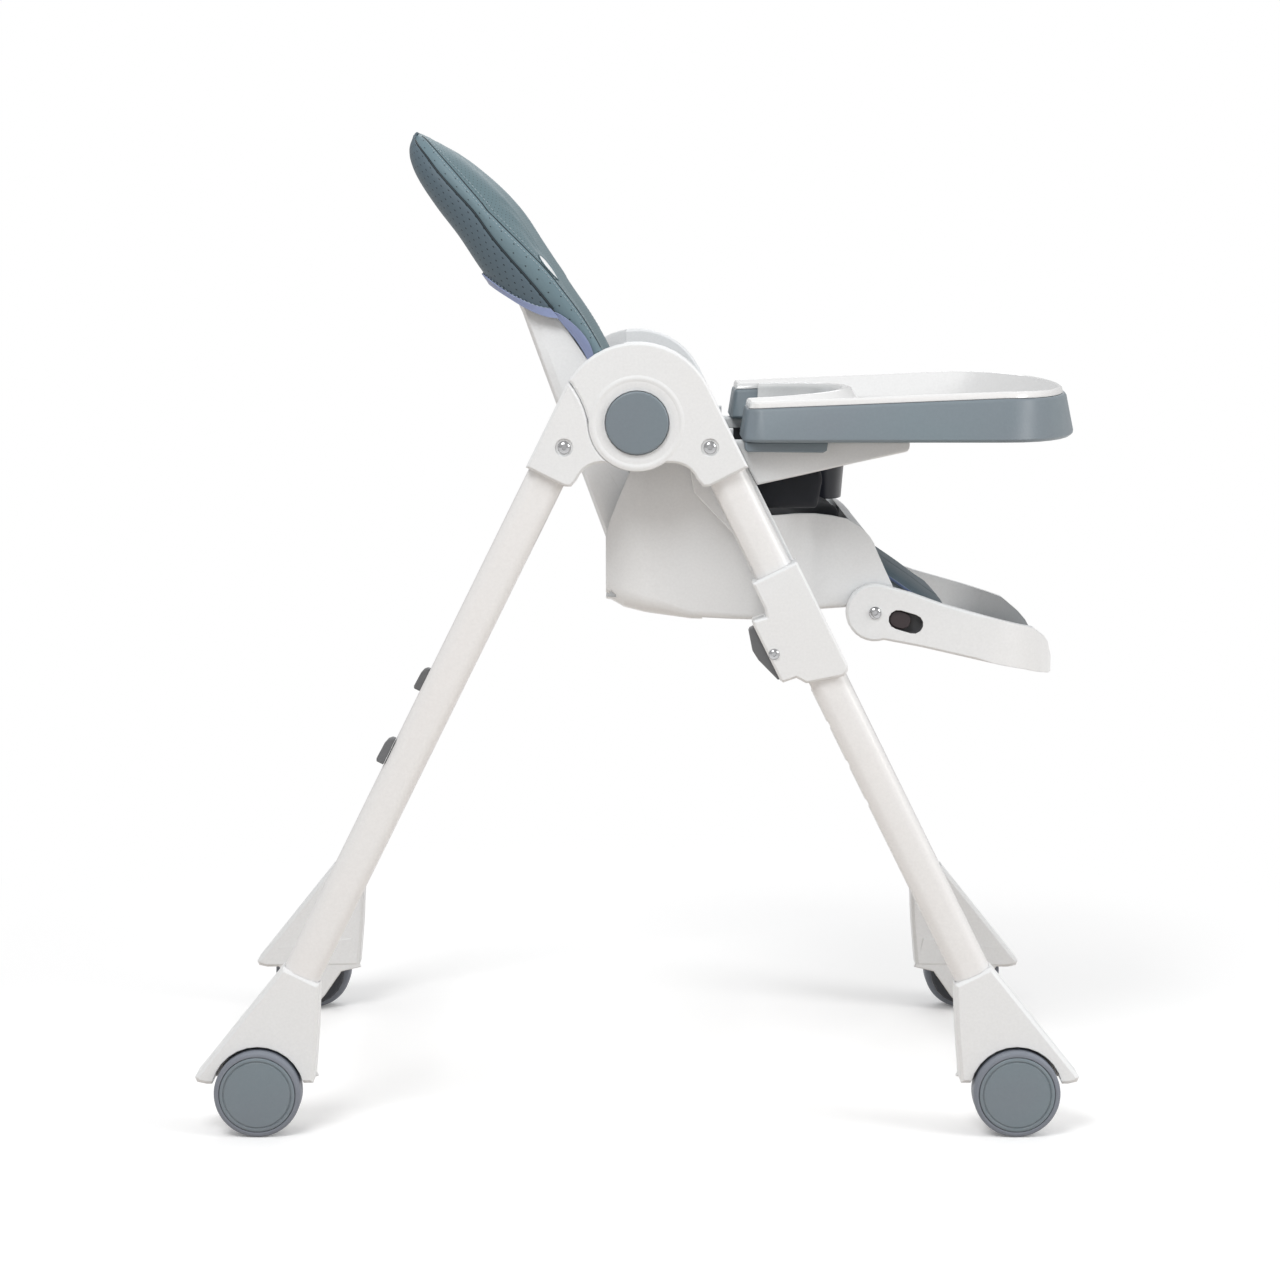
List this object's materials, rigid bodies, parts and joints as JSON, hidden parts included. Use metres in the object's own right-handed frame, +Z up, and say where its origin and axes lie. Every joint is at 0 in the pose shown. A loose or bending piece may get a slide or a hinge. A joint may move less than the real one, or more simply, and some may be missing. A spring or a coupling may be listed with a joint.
{
  "type": "baby high chair",
  "caption": "Folding high chair on an A-frame with wheels: height-adjustable seat, reclining padded backrest, hinged footrest and sliding tray with a lift-out insert.",
  "frame": {"origin": "on the floor, in the middle of the chair's length and width", "axes": "+Z up, +X towards the front (the tray side), +Y towards the child's left"},
  "size_m": [0.825, 0.5414, 0.9166],
  "materials": {
    "white_plastic": "satin",
    "white_gloss": "gloss",
    "painted_tube": "satin",
    "slate_plastic": "satin",
    "graphite_plastic": "satin",
    "tread": "matte",
    "steel": "satin",
    "leatherette": "satin",
    "lining": "matte"
  },
  "bodies": {
    "front_frame": {"front_leg_l": "painted_tube", "front_leg_r": "painted_tube", "front_hub_l": "white_plastic", "front_hub_r": "white_plastic", "front_foot_l": "white_plastic", "front_foot_r": "white_plastic", "hub_pivot_l": "steel", "hub_pivot_r": "steel", "front_crossbar": "painted_tube", "wheel_carrier_front_l": "graphite_plastic", "wheel_carrier_front_r": "graphite_plastic"},
    "rear_frame": {"rear_leg_l": "painted_tube", "rear_leg_r": "painted_tube", "rear_hub_l": "white_plastic", "rear_hub_r": "white_plastic", "fold_disc_l": "graphite_plastic", "fold_disc_r": "graphite_plastic", "rear_foot_l": "white_plastic", "rear_foot_r": "white_plastic", "storage_peg_l": "graphite_plastic", "storage_peg_r": "graphite_plastic", "rear_crossbar": "painted_tube", "wheel_carrier_rear_l": "graphite_plastic", "wheel_carrier_rear_r": "graphite_plastic"},
    "seat": {"seat_shell": "white_plastic", "seat_pad": "lining", "crotch_post": "slate_plastic", "height_sleeve_l": "white_plastic", "height_sleeve_r": "white_plastic", "armrest_l": "white_plastic", "armrest_r": "white_plastic", "side_wing_l": "lining", "side_wing_r": "lining"},
    "backrest": {"back_shell": "white_plastic", "back_cover": "leatherette"},
    "recline_handle": {"recline_handle": "graphite_plastic"},
    "footrest": {"footrest": "white_plastic", "leg_pad": "leatherette"},
    "tray": {"tray_base": "slate_plastic", "tray_guide_l": "slate_plastic", "tray_guide_r": "slate_plastic"},
    "tray_insert": {"tray_insert": "white_gloss"},
    "tray_release": {"tray_release": "graphite_plastic"},
    "fold_button_l": {"fold_button_l": "slate_plastic"},
    "height_lever_l": {"height_lever_l": "graphite_plastic"},
    "footrest_latch_l": {"footrest_latch_l": "graphite_plastic"},
    "wheel_front_l": {"wheel_front_l": "tread", "wheel_cap_front_l": "slate_plastic"},
    "wheel_rear_l": {"wheel_rear_l": "tread", "wheel_cap_rear_l": "slate_plastic"},
    "fold_button_r": {"fold_button_r": "slate_plastic"},
    "height_lever_r": {"height_lever_r": "graphite_plastic"},
    "footrest_latch_r": {"footrest_latch_r": "graphite_plastic"},
    "wheel_front_r": {"wheel_front_r": "tread", "wheel_cap_front_r": "slate_plastic"},
    "wheel_rear_r": {"wheel_rear_r": "tread", "wheel_cap_rear_r": "slate_plastic"}
  },
  "joints": [
    {"name": "frame_fold", "type": "hinge", "parent": "front_frame", "child": "rear_frame", "pos_m": [-0.0055, 0, 0.656], "axis": [0, -1, 0], "range_deg": [0, 50]},
    {"name": "seat_height", "type": "slide", "parent": "front_frame", "child": "seat", "axis": [-0.4439, 0, 0.8961], "range_m": [-0.16, 0.08]},
    {"name": "backrest_recline", "type": "hinge", "parent": "seat", "child": "backrest", "pos_m": [0.0065, 0, 0.53], "axis": [0, -1, 0], "range_deg": [0, 38]},
    {"name": "footrest_angle", "type": "hinge", "parent": "seat", "child": "footrest", "pos_m": [0.2165, 0, 0.474], "axis": [0, 1, 0], "range_deg": [0, 48]},
    {"name": "tray_slide", "type": "slide", "parent": "seat", "child": "tray", "axis": [1, 0, 0], "range_m": [0, 0.08]},
    {"name": "tray_insert_lift", "type": "slide", "parent": "tray", "child": "tray_insert", "axis": [0, 0, 1], "range_m": [0, 0.06]},
    {"name": "tray_release_pull", "type": "slide", "parent": "tray", "child": "tray_release", "axis": [1, 0, 0], "range_m": [0, 0.008], "stiffness_N_per_m": 1200},
    {"name": "recline_handle_squeeze", "type": "slide", "parent": "backrest", "child": "recline_handle", "axis": [-0.3486, 0, 0.9373], "range_m": [0, 0.008], "stiffness_N_per_m": 1500},
    {"name": "fold_button_l_press", "type": "slide", "parent": "front_frame", "child": "fold_button_l", "axis": [0, -1, 0], "range_m": [0, 0.004], "stiffness_N_per_m": 1500},
    {"name": "height_lever_l_squeeze", "type": "hinge", "parent": "seat", "child": "height_lever_l", "pos_m": [0.118, 0.245, 0.44678], "axis": [0, 1, 0], "range_deg": [0, 12], "stiffness_Nm_per_rad": 1},
    {"name": "footrest_latch_l_slide", "type": "slide", "parent": "footrest", "child": "footrest_latch_l", "axis": [0.9588, 0, -0.284], "range_m": [0, 0.011], "stiffness_N_per_m": 800},
    {"name": "wheel_front_l_roll", "type": "hinge", "parent": "front_frame", "child": "wheel_front_l", "pos_m": [0.3435, 0.2555, 0.04], "axis": [0, 1, 0], "continuous": true},
    {"name": "wheel_rear_l_roll", "type": "hinge", "parent": "rear_frame", "child": "wheel_rear_l", "pos_m": [-0.3545, 0.2555, 0.04], "axis": [0, 1, 0], "continuous": true},
    {"name": "fold_button_r_press", "type": "slide", "parent": "front_frame", "child": "fold_button_r", "axis": [0, 1, 0], "range_m": [0, 0.004], "stiffness_N_per_m": 1500},
    {"name": "height_lever_r_squeeze", "type": "hinge", "parent": "seat", "child": "height_lever_r", "pos_m": [0.118, -0.245, 0.44678], "axis": [0, 1, 0], "range_deg": [0, 12], "stiffness_Nm_per_rad": 1},
    {"name": "footrest_latch_r_slide", "type": "slide", "parent": "footrest", "child": "footrest_latch_r", "axis": [0.9588, 0, -0.284], "range_m": [0, 0.011], "stiffness_N_per_m": 800},
    {"name": "wheel_front_r_roll", "type": "hinge", "parent": "front_frame", "child": "wheel_front_r", "pos_m": [0.3435, -0.2555, 0.04], "axis": [0, 1, 0], "continuous": true},
    {"name": "wheel_rear_r_roll", "type": "hinge", "parent": "rear_frame", "child": "wheel_rear_r", "pos_m": [-0.3545, -0.2555, 0.04], "axis": [0, 1, 0], "continuous": true}
  ]
}
